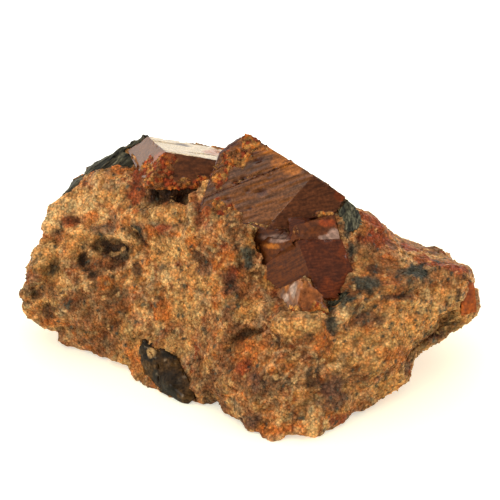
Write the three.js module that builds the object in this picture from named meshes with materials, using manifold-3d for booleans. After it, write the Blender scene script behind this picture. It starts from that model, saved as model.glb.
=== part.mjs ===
// A hand specimen of grossular-andradite garnet, in millimetres, Z up, standing on its own worn feet.
// Massive granular garnet rock carries one big red-brown crystal with a second one grown into its
// front, a lighter crystal on the left, and a small one at the front. Dark green pyroxene lies
// between them, and one grain of grey quartz sits low on the left.
// X runs along the specimen, Y goes back from the front face, and places are given from a datum
// under the front of the rock. The finished group is moved so that its origin is the middle of its base.

import * as THREE from "three";
import { ConvexHull } from "three/addons/math/ConvexHull.js";
import { ImprovedNoise } from "three/addons/math/ImprovedNoise.js";
import { ConvexGeometry } from "three/addons/geometries/ConvexGeometry.js";
import { TessellateModifier } from "three/addons/modifiers/TessellateModifier.js";
import { mergeVertices } from "three/addons/utils/BufferGeometryUtils.js";
import Module from "manifold-3d";

const wasm = await Module();
wasm.setup();

// Driving dimensions
const seam = 0.35;            // open seam between two minerals
const rockFacet = 2.7;        // longest edge of a rock facet
const rockHeart = [-1, 18, 12];   // the rock's surface is seen whole from here
const rockReach = [34, 20, 17];   // half of the rock's length, depth and height
const underside = 0.01;       // what lies lower belongs to the underside
const rounding = 0.5;         // how far the broken edges are worn down
const swell = 0.3;            // makes good what the rounding takes off
const buried = 14;            // how low the big crystals go on inside the rock
const splits = 12;            // rounds of splitting the rock's long edges, more than are needed
const weldRock = 1e-3;        // corners of the rock nearer than this are one
const weldSolid = 1e-4;       // and the same for the corners of a solid
const flatCorner = 1e-4;      // three faces that nearly run side by side make no corner
const faceSlack = 1e-6;       // a corner may lie this far outside a face
const layerShift = 17;        // keeps the layers of lumps from lying on one another

// Corners of the rock, worked round it by region.
const rockCorners = {
  frontFoot: [
    [-2, 3.3, 0.5], [0, 0.8, 0], [3.5, -1.2, 0], [8.5, -0.8, 0.3], [13.5, 3, 0], [18.7, 6.5, 1.3],
    [22.6, 9.7, 2.5], [24.6, 11.8, 4.5], [24.8, 13.5, 5.5], [28, 14, 8.5], [29.8, 15, 9], [34, 16, 9.3],
  ],
  leftFoot: [
    [-8, 7, 0], [-12, 10, 0], [-16, 13.5, 0], [-18, 16, 0], [-23.5, 19.3, 0],
    [-29, 22.8, 0.4], [-32.2, 23.6, 2.7], [-34, 23.8, 5.7], [-34.4, 24, 9],
  ],
  frontFace: [
    [0.7, 3.2, 6.5], [5.5, 1.6, 7], [11.5, 2.2, 5.5], [15.5, 4.7, 8], [-5, 8, 4], [-6.5, 13, 7.5],
    [-8.5, 16, 12.5], [-3, 13, 14], [-10, 13.5, 5.5], [-3, 8.5, 9], [-0.5, 9, 12],
    [3, 5.5, 11.5], [10, 5.3, 12], [3, 8.1, 16], [5.8, 6, 16.8], [8.5, 6.1, 16.6], [11.2, 6.7, 15.4],
    [3.8, 10.4, 15.8], [4.3, 12, 16.6], [1.5, 13.8, 17.7], [-1.5, 14.2, 19.5],
  ],
  rightFace: [[21.5, 9.2, 12], [27, 13.3, 13], [25, 11.3, 8]],
  ledge: [[13.8, 8.3, 13.7], [16.4, 10.8, 16.7], [20.5, 12.5, 17.5], [25.5, 14, 17], [29.5, 16, 17]],
  rightSlab: [[15.9, 13, 17.7], [17, 16, 19.8], [22, 17, 19], [15.2, 18, 22.8]],
  ridge: [
    [14.3, 20.5, 26.3], [16, 21, 24.6], [18.5, 21.5, 22], [21, 22, 19.8], [23.5, 22.5, 17.8],
    [27.7, 22, 16.3],
  ],
  tip: [[32.8, 16.5, 11.3], [32.9, 18.5, 16.3], [32, 24, 12.5], [31.5, 25, 8]],
  leftFlank: [
    [-33.6, 24.5, 10.5], [-32.3, 26, 12.5], [-31.2, 28, 14.5], [-31.2, 29.5, 15.5], [-31.2, 31.8, 17.2],
    [-29, 33.3, 19], [-33, 28, 9.5], [-30.8, 31.5, 12.5], [-32, 29, 4.5],
    [-28, 24, 9], [-23, 23, 9.5], [-16, 20, 11.5], [-19, 18.5, 6.5], [-26, 22, 4], [-13, 17, 8.5],
  ],
  lip: [[-29.5, 27.5, 14.5], [-26.5, 27.3, 16.7], [-22, 26.8, 17.7], [-18, 24.8, 18], [-16, 23.3, 17]],
  hollow: [[-21, 27.5, 13.5], [-25, 27, 12.5], [-17.5, 24, 14]],
  shelf: [
    [-26, 31.5, 19], [-20, 29.3, 21.7], [-14.5, 26, 22.6], [-9, 24.3, 23.7], [-10, 21, 21], [-14.5, 23.5, 21],
    [-7, 18, 18.7], [-26.5, 33.3, 19.8], [-23.8, 33, 21.5], [-20.3, 32.6, 23.2], [-18, 31.4, 24.9],
    [-14.7, 28, 26.6], [-16, 28.3, 23.3], [-12, 30, 22.5], [-12, 32.5, 26], [-8.3, 28, 25.2],
    [-5, 27.5, 25.6],
  ],
  crystalFoot: [
    [-6.8, 20.3, 26], [-6, 24, 27.5], [-4.5, 18, 25], [-2.4, 15.7, 24], [1.4, 15.1, 22.8], [2.4, 14.1, 20.3],
  ],
  crown: [[0, 24, 25], [8, 22, 24], [6, 30, 25], [-2, 33, 25], [13, 26, 22]],
  back: [
    [-21, 40.5, 19.5], [-12, 39.5, 24.2], [-5, 38, 24], [2, 35.5, 24.3], [9.5, 32.8, 22],
    [20, 28, 15.5], [27, 27, 12], [10, 34, 17.5], [0, 38, 19.5], [-9, 40.5, 19], [-16, 41.3, 18],
    [-25, 39.5, 17.5], [30, 27, 8], [22, 33, 9], [8, 36.5, 11], [-8, 39.5, 11], [-22, 40, 9], [-31, 34, 9],
    [22, 26.5, 2.5], [12, 31.5, 1], [-2, 35, 0.5], [-15, 36.5, 1], [-26, 33.5, 1], [-31, 28.5, 2.5],
  ],
  base: [
    [19, 12, 0], [19.5, 20, 0], [13, 27.5, 0], [0, 32, 0], [-12, 33.5, 0], [-22, 30.5, 0],
    [-27, 25.5, 0], [1, 4, 0], [-4, 9, 0],
  ],
};

// Hollows and knobs that the corners are too far apart to give: middle, radius, height
const rockDetails = [
  { at: [-12, 29, 22.5], radius: 4, height: -2.2 },
  { at: [-20.5, 26.5, 14], radius: 3.5, height: -1.6 },
  { at: [-0.5, 8.5, 11.8], radius: 2.6, height: -1.2 },
  { at: [-5.5, 24.5, 26], radius: 1.8, height: 1 },
  { at: [-17, 16.5, 4.5], radius: 2, height: 0.8 },
];

// Lumps of the broken granular surface, from large to small: size across, height
const lumps = [
  { size: 8, height: 1.3 },
  { size: 3.6, height: 0.85 },
  { size: 2, height: 0.5 },
];

// Worn feet, where the underside is flat and touches what it stands on
const feet = [
  { at: [4, 8], radius: 4 },
  { at: [13, 17], radius: 4 },
  { at: [-3, 24], radius: 4.5 },
  { at: [-19, 26], radius: 4 },
];

// Face normals: heading in degrees from +X towards +Y, tilt in degrees above the horizon
function facing(heading, tilt) {
  const polar = THREE.MathUtils.degToRad(90 - tilt);
  const turn = THREE.MathUtils.degToRad(heading);
  return new THREE.Vector3(
    Math.sin(polar) * Math.cos(turn),
    Math.sin(polar) * Math.sin(turn),
    Math.cos(polar),
  );
}

// One flat crystal face: the way it faces, and a point that it passes through
function face(heading, tilt, point) {
  const normal = facing(heading, tilt);
  return { normal, reach: normal.dot(new THREE.Vector3(...point)) };
}

const down = -90;

// Front crystal, grown into the foot of the big one
const frontCorner = [13, 16, 22.9];
const frontProw = [6.7, 13.4, 24.1];
const frontCrystal = [
  face(58, 74, frontCorner),
  face(-60, 35, frontCorner),
  face(8, 18, frontCorner),
  face(-122, 14, frontProw),
  face(175, 20, [-0.3, 16, 20]),
  face(-75, -22, [12, 10.5, 16.5]),
  face(110, 0, [8, 24, 20]),
  face(0, down, [0, 0, buried]),
];

// Big crystal, seen from the front: striated face on the upper left, smooth face on the right
const bigPeak = [-0.3, 26.6, 33.5];
const bigShoulder = [9.1, 20.3, 30.9];
const bigLeftEdge = [-4.3, 25.7, 31.3];
const bigCrystal = [
  face(-111, 45, bigPeak),
  face(-83, 28, bigShoulder),
  face(43, 41, bigShoulder),
  face(165, 13, bigLeftEdge),
  face(150, 46, bigLeftEdge),
  face(100, 35, bigPeak),
  face(8, 18, [13.8, 19.2, 27.8]),
  face(100, 12, [4, 32, 25]),
  face(60, 0, [10, 29.5, 24]),
  face(-14, -32, [13.5, 19.1, 27.9]),
  face(58 + 180, -74, frontCorner),
];

// Growth terraces on the striated face, each one ending along a striation
const terraces = [
  { height: 0.3, edge: [1, 22, 29.5] },
  { height: 0.6, edge: [0, 24.5, 31.5] },
];
const terraceFaces = terraces.map(({ height, edge }) => [
  { normal: bigCrystal[0].normal, reach: bigCrystal[0].reach + height },
  ...bigCrystal.slice(1),
  face(-68, -36, edge),
]);

// Block between the two, under a notch in the big crystal's lower right
const notchRoof = [10, 18, 25.6];
const blockFront = [12.5, 20.8, 22.2];
const blockCrystal = [
  face(-32, 27, blockFront),
  face(8, 18, [12.4, 20.9, 23.7]),
  face(0, 90, notchRoof),
  face(-160, 0, [5, 18, 24]),
  face(110, 0, [8, 25, 20]),
  face(58 + 180, -74, [13, 16, 22.4]),
];
const notch = [
  face(-32 + 180, -27, blockFront),
  face(0, 90, notchRoof),
  face(8, 18, frontCorner),
  face(-90, 0, [10, 8, 24]),
  face(58 + 180, -74, frontCorner),
];

// Left crystal: bright top face, narrow left face, brown front face
const leftCorner = [-12.3, 30.5, 28.7];
const leftCrystal = [
  face(48, 72, leftCorner),
  face(-162, 46, leftCorner),
  face(-74, 41, leftCorner),
  face(-15, -13, [-4.65, 25.8, 31.2]),
  face(93, 12, [-10, 36.8, 26.7]),
  face(180, -84, [-12, 30, 24.6]),
];

// Small crystal standing at the foot of the front one
const smallPeak = [7.5, 9.8, 20.6];
const smallCrystal = [
  face(-156, 28, smallPeak),
  face(-67, 28, smallPeak),
  face(45, 30, smallPeak),
  face(5, 15, [10.3, 9.2, 17.6]),
  face(122, 46, smallPeak),
  face(0, down, [0, 0, 15.3]),
];

// Crystal in the tip of the rock, with one flat face showing
const tipCrystal = [
  face(-65, 12, [31.5, 15.6, 12.6]),
  face(5, 5, [32.4, 17.5, 12.5]),
  face(40, 60, [31.5, 17, 15.3]),
  face(-170, 0, [30, 17, 12.5]),
  face(-70, -60, [31.5, 16.5, 9.9]),
  face(100, 0, [31, 20, 12.5]),
];

// Corners of the smaller minerals
const quartzCorners = [
  [-16, 15.5, 6], [-12.5, 14, 5.5], [-10.5, 12, 5], [-10, 10, 2], [-8.5, 9, 2], [-8.5, 8.5, 1],
  [-9, 8.3, 0.4], [-13, 10.3, 0.4], [-15.5, 13.5, 1], [-16.2, 15, 3.3], [-13.5, 12, 4],
  [-8.5, 14, 4], [-9, 14, 0.8], [-14, 17.5, 1.5], [-14, 17.5, 5.5],
];
const grainCorners = [
  [13.9, 19.5, 27.4], [12.6, 18.2, 26.2], [13.3, 16.6, 23.6], [14.7, 17.2, 23.2], [16, 18.7, 23.8],
  [15.5, 19.4, 25.5], [13, 23, 25], [16, 22.5, 22], [14, 21, 19.5],
];
const wedgeCorners = [
  [10.1, 10.3, 17.5], [11.3, 9.3, 15.8], [11.8, 7.9, 12.8], [13, 8.9, 14.8], [14.7, 11.1, 17.2],
  [11, 14, 17], [14, 14.5, 17], [12.3, 12, 13],
];
const crustBlocks = [
  [
    [-27.8, 33, 18.7], [-24.5, 34, 20.7], [-27.8, 34.2, 19.2], [-25.4, 35.6, 21], [-26.5, 38.5, 18.8],
    [-23.8, 34.4, 21.1], [-23.8, 39, 20.3], [-23.6, 36.2, 22], [-25, 35.5, 18],
  ],
  [
    [-24.4, 34.3, 20.8], [-20, 34.4, 22.7], [-24.6, 36.2, 21.6], [-18.8, 37.6, 25.6], [-24.6, 39.3, 20.5],
    [-18, 40, 23], [-18.5, 34.5, 23], [-21, 36, 19],
  ],
  [
    [-19.4, 34.5, 23], [-17.6, 34.2, 23.5], [-16.6, 36.2, 25.4], [-19.4, 37.4, 25.3], [-15.6, 37.6, 27.4],
    [-14.8, 38.4, 26.8], [-18.8, 40, 22.5], [-14.2, 40, 24], [-17, 38, 20],
  ],
];

// The points where the flat faces of a convex solid meet three by three
function facesToPoints(faces) {
  const points = [];
  const inside = (point) => faces.every((f) => f.normal.dot(point) <= f.reach + faceSlack);
  for (let i = 0; i < faces.length; i += 1) {
    for (let j = i + 1; j < faces.length; j += 1) {
      for (let k = j + 1; k < faces.length; k += 1) {
        const [a, b, c] = [faces[i], faces[j], faces[k]];
        const volume = a.normal.dot(b.normal.clone().cross(c.normal));
        if (Math.abs(volume) < flatCorner) continue;
        const point = b.normal.clone().cross(c.normal).multiplyScalar(a.reach);
        point.add(c.normal.clone().cross(a.normal).multiplyScalar(b.reach));
        point.add(a.normal.clone().cross(b.normal).multiplyScalar(c.reach));
        point.divideScalar(volume);
        if (inside(point)) points.push(point);
      }
    }
  }
  return points;
}

function cornersToFaces(corners) {
  const hull = new ConvexHull().setFromPoints(corners.map((corner) => new THREE.Vector3(...corner)));
  return hull.faces.map((side) => ({ normal: side.normal.clone(), reach: side.constant }));
}

function grown(faces, by) {
  return faces.map((f) => ({ normal: f.normal, reach: f.reach + by }));
}

// Boolean solids
function toSolid(geometry) {
  const bare = new THREE.BufferGeometry();
  bare.setAttribute("position", geometry.attributes.position);
  if (geometry.index) bare.setIndex(geometry.index);
  const merged = mergeVertices(bare, weldSolid);
  const mesh = new wasm.Mesh({
    numProp: 3,
    vertProperties: new Float32Array(merged.attributes.position.array),
    triVerts: new Uint32Array(merged.index.array),
  });
  return new wasm.Manifold(mesh);
}

function convex(faces) {
  return toSolid(new ConvexGeometry(facesToPoints(faces)));
}

function toGeometry(solid) {
  const mesh = solid.getMesh();
  const geometry = new THREE.BufferGeometry();
  geometry.setAttribute("position", new THREE.BufferAttribute(mesh.vertProperties, 3));
  geometry.setIndex(new THREE.BufferAttribute(mesh.triVerts, 1));
  geometry.computeVertexNormals();
  return geometry;
}

// The broken rock: its corners joined into facets, the facets split up and roughened
function rockFacets() {
  const corners = Object.values(rockCorners).flat();
  const heart = new THREE.Vector3(...rockHeart);
  const reach = new THREE.Vector3(...rockReach);
  const places = new Map();
  const directions = corners.map((corner) => {
    const place = new THREE.Vector3(...corner);
    const direction = place.clone().sub(heart).divide(reach).normalize();
    places.set(direction, place);
    return direction;
  });
  const positions = [];
  for (const side of new ConvexHull().setFromPoints(directions).faces) {
    let edge = side.edge;
    do {
      positions.push(...places.get(edge.head().point).toArray());
      edge = edge.next;
    } while (edge !== side.edge);
  }
  const geometry = new THREE.BufferGeometry();
  geometry.setAttribute("position", new THREE.Float32BufferAttribute(positions, 3));
  return new TessellateModifier(rockFacet, splits).modify(geometry);
}

const noise = new ImprovedNoise();

function lumpHeight(point) {
  let height = 0;
  lumps.forEach((lump, layer) => {
    const place = point.clone().divideScalar(lump.size);
    height += lump.height * noise.noise(place.x + layerShift * (layer + 1), place.y, place.z);
  });
  return height;
}

function detailHeight(point) {
  let height = 0;
  for (const detail of rockDetails) {
    const away = point.distanceTo(new THREE.Vector3(...detail.at)) / detail.radius;
    height += detail.height * Math.exp(-away * away);
  }
  return height;
}

function isFoot(point) {
  return feet.some((foot) => Math.hypot(point.x - foot.at[0], point.y - foot.at[1]) < foot.radius);
}

// Each point above the underside goes part of the way to the middle of its neighbours
function relax(geometry) {
  const position = geometry.attributes.position;
  const index = geometry.index.array;
  const neighbours = Array.from({ length: position.count }, () => new Set());
  for (let i = 0; i < index.length; i += 3) {
    const corners = [index[i], index[i + 1], index[i + 2]];
    for (const corner of corners) {
      corners.filter((other) => other !== corner).forEach((other) => neighbours[corner].add(other));
    }
  }
  const before = neighbours.map((_, i) => new THREE.Vector3().fromBufferAttribute(position, i));
  neighbours.forEach((around, i) => {
    if (before[i].z < underside) return;
    const middle = new THREE.Vector3();
    around.forEach((other) => middle.add(before[other]));
    const point = before[i].clone().lerp(middle.divideScalar(around.size), rounding);
    position.setXYZ(i, point.x, point.y, point.z);
  });
}

function rockSolid() {
  const merged = mergeVertices(rockFacets(), weldRock);
  relax(merged);
  relax(merged);
  merged.computeVertexNormals();
  const position = merged.attributes.position;
  const normals = merged.attributes.normal;
  for (let i = 0; i < position.count; i += 1) {
    const point = new THREE.Vector3().fromBufferAttribute(position, i);
    const normal = new THREE.Vector3().fromBufferAttribute(normals, i);
    const height = lumpHeight(point) + detailHeight(point);
    if (point.z > underside) {
      point.addScaledVector(normal, height + swell);
    } else {
      point.z = isFoot(point) ? 0 : height;
    }
    position.setXYZ(i, point.x, point.y, Math.max(0, point.z));
  }
  return toSolid(merged);
}

// Minerals, from the hardest edges to the rock that fits round them
const join = (whole, piece) => whole.add(piece);
function bigGarnet(extra) {
  const upper = [bigCrystal, ...terraceFaces].map((faces) => convex(grown(faces, extra))).reduce(join);
  const lower = [frontCrystal, blockCrystal].map((faces) => convex(grown(faces, extra))).reduce(join);
  return upper.subtract(convex(grown(notch, -extra))).add(lower);
}
const bigSolid = bigGarnet(0);
const bigRoom = bigGarnet(seam);
const leftSolid = convex(leftCrystal);
const leftRoom = convex(grown(leftCrystal, seam));
const smallSolid = convex(smallCrystal).subtract(bigRoom);
const smallRoom = convex(grown(smallCrystal, seam));
const tipSolid = convex(tipCrystal);
const quartzFaces = cornersToFaces(quartzCorners);
const grainFaces = cornersToFaces(grainCorners);
const wedgeFaces = cornersToFaces(wedgeCorners);
const crustFaces = crustBlocks.map(cornersToFaces);
const grainSolid = convex(grainFaces).subtract(bigRoom);
const wedgeSolid = convex(wedgeFaces).subtract(bigRoom).subtract(smallRoom);
const crustSolid = crustFaces.map(convex).reduce(join).subtract(leftRoom);

const room = [
  bigRoom,
  leftRoom,
  smallRoom,
  convex(notch),
  convex(grown(tipCrystal, seam)),
  ...[quartzFaces, grainFaces, wedgeFaces, ...crustFaces].map((faces) => convex(grown(faces, seam))),
];
const matrixSolid = room.reduce((rock, cutter) => rock.subtract(cutter), rockSolid());

const nodes = {
  matrix_rock: [matrixSolid, { color: 0xa8682f, roughness: 0.8, metalness: 0 }],
  main_garnet_crystal: [bigSolid, { color: 0x5c2a14, roughness: 0.25, metalness: 0 }],
  left_garnet_crystal: [leftSolid, { color: 0x7a3a1c, roughness: 0.2, metalness: 0 }],
  small_garnet_crystal: [smallSolid, { color: 0x9a4a1e, roughness: 0.25, metalness: 0 }],
  tip_garnet_crystal: [tipSolid, { color: 0xa4501c, roughness: 0.3, metalness: 0 }],
  pyroxene_crust: [crustSolid, { color: 0x2e3026, roughness: 0.6, metalness: 0 }],
  pyroxene_grain: [grainSolid, { color: 0x4a5648, roughness: 0.5, metalness: 0 }],
  pyroxene_wedge: [wedgeSolid, { color: 0x252a26, roughness: 0.5, metalness: 0 }],
  quartz_grain: [convex(quartzFaces), { color: 0x4a453e, roughness: 0.15, metalness: 0 }],
};

const group = new THREE.Group();
for (const [name, [solid, finish]] of Object.entries(nodes)) {
  const mesh = new THREE.Mesh(toGeometry(solid), new THREE.MeshStandardMaterial(finish));
  mesh.name = name;
  group.add(mesh);
}

// The origin goes to the middle of the base
const box = new THREE.Box3().setFromObject(group);
group.position.set(-(box.min.x + box.max.x) / 2, -(box.min.y + box.max.y) / 2, -box.min.z);

export default group;
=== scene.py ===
import math

import bmesh
import bpy
import numpy as np
from mathutils import Matrix, Vector
from mathutils.bvhtree import BVHTree


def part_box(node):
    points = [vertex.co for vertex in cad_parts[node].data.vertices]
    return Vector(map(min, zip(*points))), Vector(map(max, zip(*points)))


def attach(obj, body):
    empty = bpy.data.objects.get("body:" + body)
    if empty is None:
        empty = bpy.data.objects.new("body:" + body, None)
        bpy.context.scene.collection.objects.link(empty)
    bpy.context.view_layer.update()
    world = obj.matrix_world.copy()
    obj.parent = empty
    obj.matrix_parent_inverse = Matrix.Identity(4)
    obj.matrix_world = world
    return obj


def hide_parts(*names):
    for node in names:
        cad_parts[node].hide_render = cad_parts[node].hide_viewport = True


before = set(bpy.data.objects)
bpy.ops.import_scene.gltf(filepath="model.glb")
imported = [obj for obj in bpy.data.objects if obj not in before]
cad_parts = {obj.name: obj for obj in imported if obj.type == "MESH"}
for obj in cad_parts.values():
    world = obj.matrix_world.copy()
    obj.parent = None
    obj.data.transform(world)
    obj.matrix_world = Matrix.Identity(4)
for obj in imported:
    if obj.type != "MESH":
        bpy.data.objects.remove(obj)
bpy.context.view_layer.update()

# The view: the specimen stands on a white table and is seen from its front, about 33 degrees above
# the table, through a long lens. Places on it are given in millimetres from a datum under the
# front of the rock, which the quartz grain fixes.
mm = 0.001
view_height = math.radians(33)
view_distance = 360 * mm
lens_length = 180.0
film_width = 36.0
photo_side = 500
quartz_corner = Vector((-16.2, 8.3, 0.4)) * mm
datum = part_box("quartz_grain")[0] - quartz_corner
view_middle = datum + Vector((0.0, 20.0, 18.5)) * mm

camera_data = bpy.data.cameras.new("camera")
camera_data.lens = lens_length
camera_data.sensor_width = film_width
camera_data.clip_start = 0.01
camera = bpy.data.objects.new("camera", camera_data)
view_up = Vector((0.0, math.sin(view_height), math.cos(view_height)))
view_back = Vector((0.0, -math.cos(view_height), math.sin(view_height)))
camera.location = view_middle + view_back * view_distance
camera.rotation_euler = (math.pi / 2 - view_height, 0.0, 0.0)
bpy.context.scene.collection.objects.link(camera)
bpy.context.scene.camera = camera


def line_of_sight(u, v):
    """The way from the camera through a pixel of the photograph"""
    across = (u - photo_side / 2) / photo_side * film_width / lens_length
    down = (v - photo_side / 2) / photo_side * film_width / lens_length
    return (Vector((across, 0.0, 0.0)) - view_up * down - view_back).normalized()


# The rock: garnet in sugary grains of half a millimetre, broken by hand and worn underneath. It
# grew round the crystals, so its skin closes on their faces and dips under them.
shell_step = 0.315 * mm
grip = 0.45 * mm
weld = 0.001 * mm


def merged_copy(node):
    """A CAD node's mesh with its loose triangles joined"""
    mesh = bmesh.new()
    mesh.from_mesh(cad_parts[node].data)
    bmesh.ops.remove_doubles(mesh, verts=mesh.verts, dist=weld)
    return mesh


def swollen_copy(node):
    """The same, with each side moved out far enough to close the seam round it"""
    mesh = merged_copy(node)
    low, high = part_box(node)
    middle = (low + high) / 2
    size = high - low
    swelling = Matrix.Diagonal([(side + 2 * grip) / side for side in size] + [1.0])
    bmesh.ops.transform(mesh, matrix=swelling, space=Matrix.Translation(-middle), verts=mesh.verts)
    return mesh


def new_object(name, mesh):
    """A mesh or bmesh as an object at the origin"""
    if isinstance(mesh, bmesh.types.BMesh):
        data = bpy.data.meshes.new(name)
        mesh.to_mesh(data)
        mesh.free()
        mesh = data
    made = bpy.data.objects.new(name, mesh)
    bpy.context.scene.collection.objects.link(made)
    return made


def settle(made):
    """Turns an object's modifiers into plain mesh"""
    depsgraph = bpy.context.evaluated_depsgraph_get()
    plain = bpy.data.meshes.new_from_object(made.evaluated_get(depsgraph))
    made.modifiers.clear()
    old = made.data
    made.data = plain
    bpy.data.meshes.remove(old)
    plain.name = made.name


def get_points(mesh):
    """Vertex places as millimetres from the datum"""
    places = np.empty(len(mesh.vertices) * 3)
    mesh.vertices.foreach_get("co", places)
    return (places.reshape(-1, 3) - np.array(datum)) / mm


def set_points(mesh, points):
    mesh.vertices.foreach_set("co", (points * mm + np.array(datum)).ravel())
    mesh.update()


def get_normals(mesh):
    normals = np.empty(len(mesh.vertices) * 3)
    mesh.vertices.foreach_get("normal", normals)
    return normals.reshape(-1, 3)


crystal_nodes = [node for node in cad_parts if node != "matrix_rock"]
solid_trees = {node: BVHTree.FromBMesh(merged_copy(node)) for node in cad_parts}

whole = merged_copy("matrix_rock")
for node in crystal_nodes:
    grown = swollen_copy(node)
    spare = bpy.data.meshes.new("spare")
    grown.to_mesh(spare)
    grown.free()
    whole.from_mesh(spare)
    bpy.data.meshes.remove(spare)
rock = new_object("granular_rock", whole)
remesh = rock.modifiers.new("skin", "REMESH")
remesh.mode = "VOXEL"
remesh.voxel_size = shell_step
relax = rock.modifiers.new("relax", "SMOOTH")
relax.factor = 0.5
relax.iterations = 6
settle(rock)


def chance(cells, seed):
    """One random number from 0 to 1 for each cell of a lattice"""
    mixed = cells @ np.array([127.1, 311.7, 74.7]) + seed * 19.19
    return np.modf(np.abs(np.sin(mixed)) * 43758.5453)[0]


def swells(points, size, seed):
    """Smooth noise from -1 to 1, with swells of about the size given"""
    places = points / size + seed * 7.3
    cell = np.floor(places)
    part = places - cell
    part = part * part * (3 - 2 * part)
    total = np.zeros(len(points))
    for corner in np.ndindex(2, 2, 2):
        share = np.prod(np.where(corner, part, 1 - part), axis=1)
        total += share * chance(cell + corner, seed)
    return total * 2 - 1


def grains(points, size, seed):
    """Distance to the nearest grain's middle, in grain sizes, and that grain's number"""
    places = points / size
    cell = np.floor(places)
    first = np.full(len(points), 9.0)
    number = np.zeros(len(points))
    for step in np.ndindex(3, 3, 3):
        near = cell + np.array(step) - 1
        middle = near + np.stack([chance(near, seed + axis) for axis in (1, 2, 3)], axis=1)
        away = np.linalg.norm(places - middle, axis=1)
        nearer = away < first
        number = np.where(nearer, chance(near, seed + 4), number)
        first = np.minimum(first, away)
    return first, number


def ease(values, low, high):
    """0 below low, 1 above high and smooth between"""
    part = np.clip((values - low) / (high - low), 0, 1)
    return part * part * (3 - 2 * part)


def is_inside(place, tree):
    """Whether a line straight up from a place leaves the solid an odd number of times"""
    crossings = 0
    spot = tree.ray_cast(place, Vector((0.0, 0.0, 1.0)))[0]
    while spot is not None:
        crossings += 1
        spot = tree.ray_cast(spot + Vector((0.0, 0.0, weld)), Vector((0.0, 0.0, 1.0)))[0]
    return crossings % 2 == 1


def depth_inside(points, node, reach):
    """Signed distance in mm from a solid's surface, and the surface's outward way there"""
    distance = np.full(len(points), reach)
    outward = np.zeros((len(points), 3))
    low, high = (np.array(corner - datum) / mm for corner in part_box(node))
    close = np.all((points > low - reach) & (points < high + reach), axis=1)
    for i in np.flatnonzero(close):
        place = Vector(points[i]) * mm + datum
        spot, _, _, away = solid_trees[node].find_nearest(place)
        side = -1 if is_inside(place, solid_trees[node]) else 1
        if side * away / mm < reach:
            distance[i] = side * away / mm
            outward[i] = side * (place - spot).normalized()
    return distance, outward


# The skin dips under the crystals where it isn't rock
reach = 3.0
dip = 0.5
skin = get_points(rock.data)
from_rock, _ = depth_inside(skin, "matrix_rock", reach)
from_crystal = np.full(len(skin), reach)
out_of_crystal = np.zeros((len(skin), 3))
for node in crystal_nodes:
    distance, outward = depth_inside(skin, node, reach)
    nearer = distance < from_crystal
    from_crystal[nearer] = distance[nearer]
    out_of_crystal[nearer] = outward[nearer]
sunk = ease(from_rock, 0.15, 0.45) * (from_crystal < reach)
skin -= out_of_crystal * ((from_crystal + dip) * sunk)[:, None]
set_points(rock.data, skin)

# Its relief as the photograph shows it: lips, ledges, cracks and hollows, each along a line of
# pixels, with its width and height in millimetres
relief = {
    "pit under the lip": ([(100, 246), (110, 247), (120, 250)], 1.3, -1.3),
    "lip": ([(67, 236), (85, 228), (102, 230), (123, 236), (134, 242)], 0.9, 0.7),
    "tan ledge": ([(49, 212), (64, 204), (82, 203), (96, 200)], 1.1, 0.5),
    "red pit": ([(60, 221), (78, 218)], 0.8, -0.4),
    "slot": ([(125, 228), (133, 234), (138, 240)], 0.9, -1.2),
    "cavity": ([(158, 195), (170, 191), (181, 196)], 1.7, -1.9),
    "cavity rim": ([(150, 176), (165, 173), (178, 178), (190, 190), (195, 199)], 0.7, 0.6),
    "knob": ([(211, 186), (212, 187)], 0.9, 0.9),
    "red slit": ([(203, 199), (199, 210), (200, 222)], 0.8, -1.1),
    "shelf lip": ([(138, 209), (155, 207), (175, 206), (195, 208)], 0.7, 0.5),
    "crack": ([(230, 348), (237, 341), (246, 333), (260, 331), (271, 323), (288, 316)], 0.45, -1.2),
    "crack shoulder": ([(246, 340), (262, 336), (275, 328), (292, 320), (312, 321)], 0.9, 0.6),
    "flat under the small crystal": ([(268, 325), (290, 317), (315, 320)], 0.7, 0.3),
    "wedge gap": ([(328, 300), (331, 318), (334, 334)], 0.8, -0.8),
    "ledge edge": ([(337, 324), (351, 305), (369, 292), (400, 286), (420, 279)], 0.7, 0.75),
    "brown groove": ([(353, 325), (366, 312), (388, 299), (418, 292)], 0.7, -0.9),
    "second ledge": ([(351, 330), (365, 316), (387, 303), (415, 298)], 0.6, 0.7),
    "rim step": ([(361, 224), (376, 230), (392, 237)], 0.6, 0.7),
    "orange ridge": ([(106, 273), (111, 292)], 0.6, 0.5),
    "left slot": ([(52, 262), (50, 277)], 0.8, -0.9),
    "left pits": ([(83, 258), (92, 274)], 0.8, -0.7),
    "purple slot": ([(228, 275), (230, 290)], 0.8, -0.6),
    "grey slot": ([(239, 247), (241, 268)], 0.7, -0.6),
    "column": ([(245, 285), (247, 310)], 0.7, 0.5),
    "left tip": ([(24, 280), (26, 292)], 1.5, 0.9),
    "under the left tip": ([(20, 309), (28, 316)], 1.4, -0.9),
    "worn lower right": ([(450, 328), (437, 344), (423, 360)], 2.4, -2.2),
    "notch of the quartz": ([(178, 372), (183, 384), (188, 396)], 1.3, -1.5),
    "block beside the quartz": ([(137, 352), (140, 372)], 0.9, 0.5),
}
rock_tree = BVHTree.FromPolygons(
    [vertex.co.copy() for vertex in rock.data.vertices],
    [tuple(face.vertices) for face in rock.data.polygons],
)


def seen_place(u, v, tree=rock_tree):
    """Where the line through a pixel meets a solid, or the solid's nearest place to that line"""
    line = line_of_sight(u, v)
    spot = tree.ray_cast(camera.location, line)[0]
    if spot is None:
        spot = tree.find_nearest(camera.location + line * view_distance)[0]
    return np.array((spot - datum) / mm)


def away_from_line(points, line):
    """Distance from a line that joins places one by one"""
    nearest = np.full(len(points), 1e3)
    for start, end in zip(line, line[1:]):
        along = end - start
        part = np.clip((points - start) @ along / (along @ along), 0, 1)
        nearest = np.minimum(nearest, np.linalg.norm(points - start - part[:, None] * along, axis=1))
    return nearest


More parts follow.
